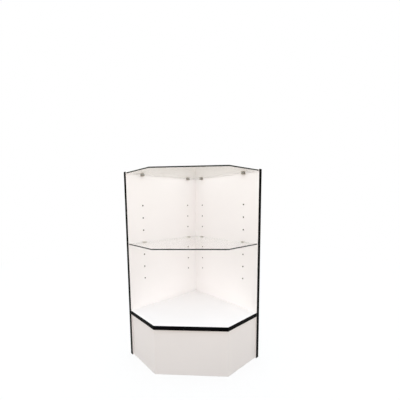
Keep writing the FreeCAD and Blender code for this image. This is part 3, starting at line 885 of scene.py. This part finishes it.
class CASE_OT_trim(bpy.types.Operator):
    """Gives the edge trim a black extruded finish, with draw lines along each run"""
    bl_idname = "case.trim"
    bl_label = "Trim"

    def execute(self, context):
        black = context.scene.case_finishes.trim_black
        drawn_up = (DRAW_ACROSS, DRAW_ACROSS, DRAW_ALONG)
        drawn_level = (DRAW_ALONG, DRAW_ALONG, DRAW_ACROSS)
        dress(trim_finish("black_wall_trim", black, drawn_up), "left_wall_edge_trim", "right_wall_edge_trim")
        dress(trim_finish("black_deck_trim", black, drawn_level), "deck_edge_trim")
        return {"FINISHED"}


class CASE_OT_softwood(bpy.types.Operator):
    """Gives the cleats and the kick blocks a planed pine finish, with the grain along each piece"""
    bl_idname = "case.softwood"
    bl_label = "Cleats and blocks"

    def execute(self, context):
        finishes = context.scene.case_finishes
        runs = {
            "x": ("right_deck_cleat",),
            "y": ("left_deck_cleat",),
            "z": ("left_kick_cleat", "right_kick_cleat", "left_kick_block", "right_kick_block"),
        }
        for run, nodes in runs.items():
            stretch = [GRAIN_ALONG if axis == run else GRAIN_ACROSS for axis in "xyz"]
            dress(pine_finish(f"planed_pine_{run}", finishes.pine_pale, finishes.pine_dark, stretch), *nodes)
        return {"FINISHED"}


class CASE_OT_glass(bpy.types.Operator):
    """Models the glass shelf and the glass top, with clear faces, front edges painted dark as shade, and pale
    back edges
    """
    bl_idname = "case.glass"
    bl_label = "Glass"

    def execute(self, context):
        finishes = context.scene.case_finishes
        face = glass_finish("clear_glass", finishes.glass_tint)
        # The front edges get a near-black tone as painted shade and reflection
        front = glass_edge_finish("polished_glass_edge", finishes.glass_front_shade, rough=0.08)
        back = glass_edge_finish("ground_glass_edge", finishes.glass_back, rough=0.4)
        looks = (face, front, back)
        for node, body in (("glass_shelf", "shelf"), ("glass_top", "top")):
            piece = pane(node, f"{node}_pane", context.scene.case_glass)
            paint(piece, *looks)
            for polygon in piece.data.polygons:
                if abs(polygon.normal.z) < FACING:
                    facing_back = polygon.normal.x - polygon.normal.y < 0
                    polygon.material_index = looks.index(back if facing_back else front)
            hand_in(piece, body, "clear_glass", node)
        return {"FINISHED"}


class CASE_OT_clips(bpy.types.Operator):
    """Models the clips that hold the glass, with their set screws and pads"""
    bl_idname = "case.clips"
    bl_label = "Clips"

    def execute(self, context):
        clips, finishes = context.scene.case_clips, context.scene.case_finishes
        masters = {"clips": casting(clips), "clip_screws": set_screw(clips), "clip_pads": pads(clips)}
        rubber = rubber_finish("soft_grey_pad", finishes.pad_grey)
        # The top's clips get the same nickel, painted darker as shade
        for level, plate in (("shelf", finishes.nickel), ("top", finishes.shaded_nickel)):
            places = clip_places(context.scene.case_holes, middle(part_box(f"glass_{level}"), 2))
            cast = metal_finish(f"{level}_clip_nickel", plate, rough=0.24, grain_scale=1800)
            turned = metal_finish(f"{level}_screw_nickel", plate, rough=0.2, grain_scale=2500)
            looks = {
                "clips": (cast, "nickel"),
                "clip_screws": (turned, "nickel"),
                "clip_pads": (rubber, "grey_rubber"),
            }
            for kind, (finish, slot) in looks.items():
                piece = unite(f"{level}_{kind}_set", copies(masters[kind], places))
                paint(piece, finish)
                hand_in(piece, "carcass", slot, f"{level}_{kind}")
        discard(*masters.values())
        return {"FINISHED"}


class CASE_OT_screws(bpy.types.Operator):
    """Models the screws that hold the walls, the deck and the kick together"""
    bl_idname = "case.screws"
    bl_label = "Screws"

    def execute(self, context):
        screws = context.scene.case_screws
        finish = metal_finish("zinc_plate", context.scene.case_finishes.zinc, rough=0.28, grain_scale=2200)
        short, long = pan_screw(screws, screws.short_length), pan_screw(screws, screws.long_length)
        joint = joint_screw(screws)
        cleat_to_wall, cleat_to_deck = deck_cleat_places(screws)
        kick_to_wall, kick_to_end = kick_cleat_places()
        groups = {
            "wall_joint_screws": copies(joint, joint_places(screws)),
            "deck_cleat_screws": copies(short, cleat_to_wall),
            "deck_screws": copies(long, cleat_to_deck),
            "kick_cleat_screws": copies(long, kick_to_wall) + copies(short, kick_to_end),
        }
        for node, made in groups.items():
            piece = unite(f"{node}_set", made)
            paint(piece, finish)
            hand_in(piece, "carcass", "zinc_steel", node)
        discard(short, long, joint)
        return {"FINISHED"}


class CASE_OT_stage(bpy.types.Operator):
    """Sets the floor, the light and the camera"""
    bl_idname = "case.stage"
    bl_label = "Stage"

    def execute(self, context):
        scene, stage = context.scene, context.scene.case_stage
        begin()
        bpy.ops.mesh.primitive_plane_add(size=stage.floor_span, location=(0, 0, -stage.floor_drop))
        floor = context.object
        floor.name = "pale_floor"
        settle()
        paint(floor, self.floor_finish(stage))

        begin()
        bpy.ops.object.light_add(type="AREA", location=stage.key_place, rotation=stage.key_turn)
        lamp = context.object.data
        lamp.energy = stage.key_power
        lamp.size = stage.key_span

        scene.world = self.room(stage)
        bpy.ops.object.camera_add(location=stage.camera_place, rotation=stage.camera_turn)
        scene.camera = context.object
        camera = context.object.data
        camera.lens = stage.lens
        camera.shift_x, camera.shift_y = stage.shift_x, stage.shift_y
        scene.view_settings.view_transform = "Standard"
        return {"FINISHED"}

    def floor_finish(self, stage):
        """A matt floor that the camera, glass and metal see as a white sheet with the case's soft shadow."""
        finish, tree, shader = new_finish("pale_floor")
        adjust(shader, {"Base Color": (*stage.floor_white, 1), "Roughness": 0.9})
        sheet = tree.nodes.new("ShaderNodeEmission")
        bounce = tree.nodes.new("ShaderNodeBsdfDiffuse")
        adjust(bounce, {"Color": (*stage.floor_tone, 1)})
        seen = choose(tree, stage.floor_share, shader.outputs["BSDF"], sheet.outputs["Emission"])
        seeing = rays_of(tree, "Glossy", "Transmission", "Camera")
        shown = choose(tree, seeing, bounce.outputs["BSDF"], seen)
        tree.links.new(shown, tree.nodes["Material Output"].inputs["Surface"])
        return finish

    def room(self, stage):
        """Soft light from all round. The camera sees white, and glass and metal a room over a white floor."""
        world = bpy.data.worlds.new("pale_room")
        world.use_nodes = True
        tree = world.node_tree
        split = tree.nodes.new("ShaderNodeSeparateXYZ")
        tree.links.new(tree.nodes.new("ShaderNodeTexCoord").outputs["Generated"], split.inputs["Vector"])
        height = split.outputs["Z"]
        light = tree.nodes["Background"]
        adjust(light, {"Strength": stage.room_strength})
        glow = shades(tree, height, stage.room_white, stage.room_over, low=0, high=1)
        tree.links.new(glow, light.inputs["Color"])
        walls = tree.nodes.new("ShaderNodeBackground")
        tone = shades(tree, height, WHITE, stage.room_seen, low=0, high=HORIZON_FADE)
        tree.links.new(tone, walls.inputs["Color"])
        white = tree.nodes.new("ShaderNodeBackground")
        adjust(white, {"Color": (*WHITE, 1)})
        mirrored = rays_of(tree, "Glossy", "Transmission")
        around = choose(tree, mirrored, light.outputs["Background"], walls.outputs["Background"])
        shown = choose(tree, rays_of(tree, "Camera"), around, white.outputs["Background"])
        tree.links.new(shown, tree.nodes["World Output"].inputs["Surface"])
        return world


class CASE_PT_panel(bpy.types.Panel):
    """Lists the steps that dress the display case, and the sizes and colours that they use"""
    bl_idname = "CASE_PT_panel"
    bl_label = "Display Case"
    bl_space_type = "VIEW_3D"
    bl_region_type = "UI"
    bl_category = "Display Case"

    def draw(self, context):
        for operator in OPERATORS:
            self.layout.operator(operator.bl_idname)
        for name, group in GROUPS.items():
            box = self.layout.box()
            box.label(text=group.__doc__)
            for field in group.__annotations__:
                box.prop(getattr(context.scene, name), field)


OPERATORS = (
    CASE_OT_boards,
    CASE_OT_trim,
    CASE_OT_softwood,
    CASE_OT_glass,
    CASE_OT_clips,
    CASE_OT_screws,
    CASE_OT_stage,
)
GROUPS = {
    "case_glass": CaseGlass,
    "case_holes": CaseHoles,
    "case_clips": CaseClips,
    "case_screws": CaseScrews,
    "case_finishes": CaseFinishes,
    "case_stage": CaseStage,
}
CLASSES = (*GROUPS.values(), *OPERATORS, CASE_PT_panel)


def register():
    for item in CLASSES:
        bpy.utils.register_class(item)
    for name, group in GROUPS.items():
        setattr(bpy.types.Scene, name, PointerProperty(type=group))


def unregister():
    for name in GROUPS:
        delattr(bpy.types.Scene, name)
    for item in reversed(CLASSES):
        bpy.utils.unregister_class(item)


def main():
    register()
    bpy.ops.case.boards()
    bpy.ops.case.trim()
    bpy.ops.case.softwood()
    bpy.ops.case.glass()
    bpy.ops.case.clips()
    bpy.ops.case.screws()
    bpy.ops.case.stage()


if __name__ == "__main__":
    main()
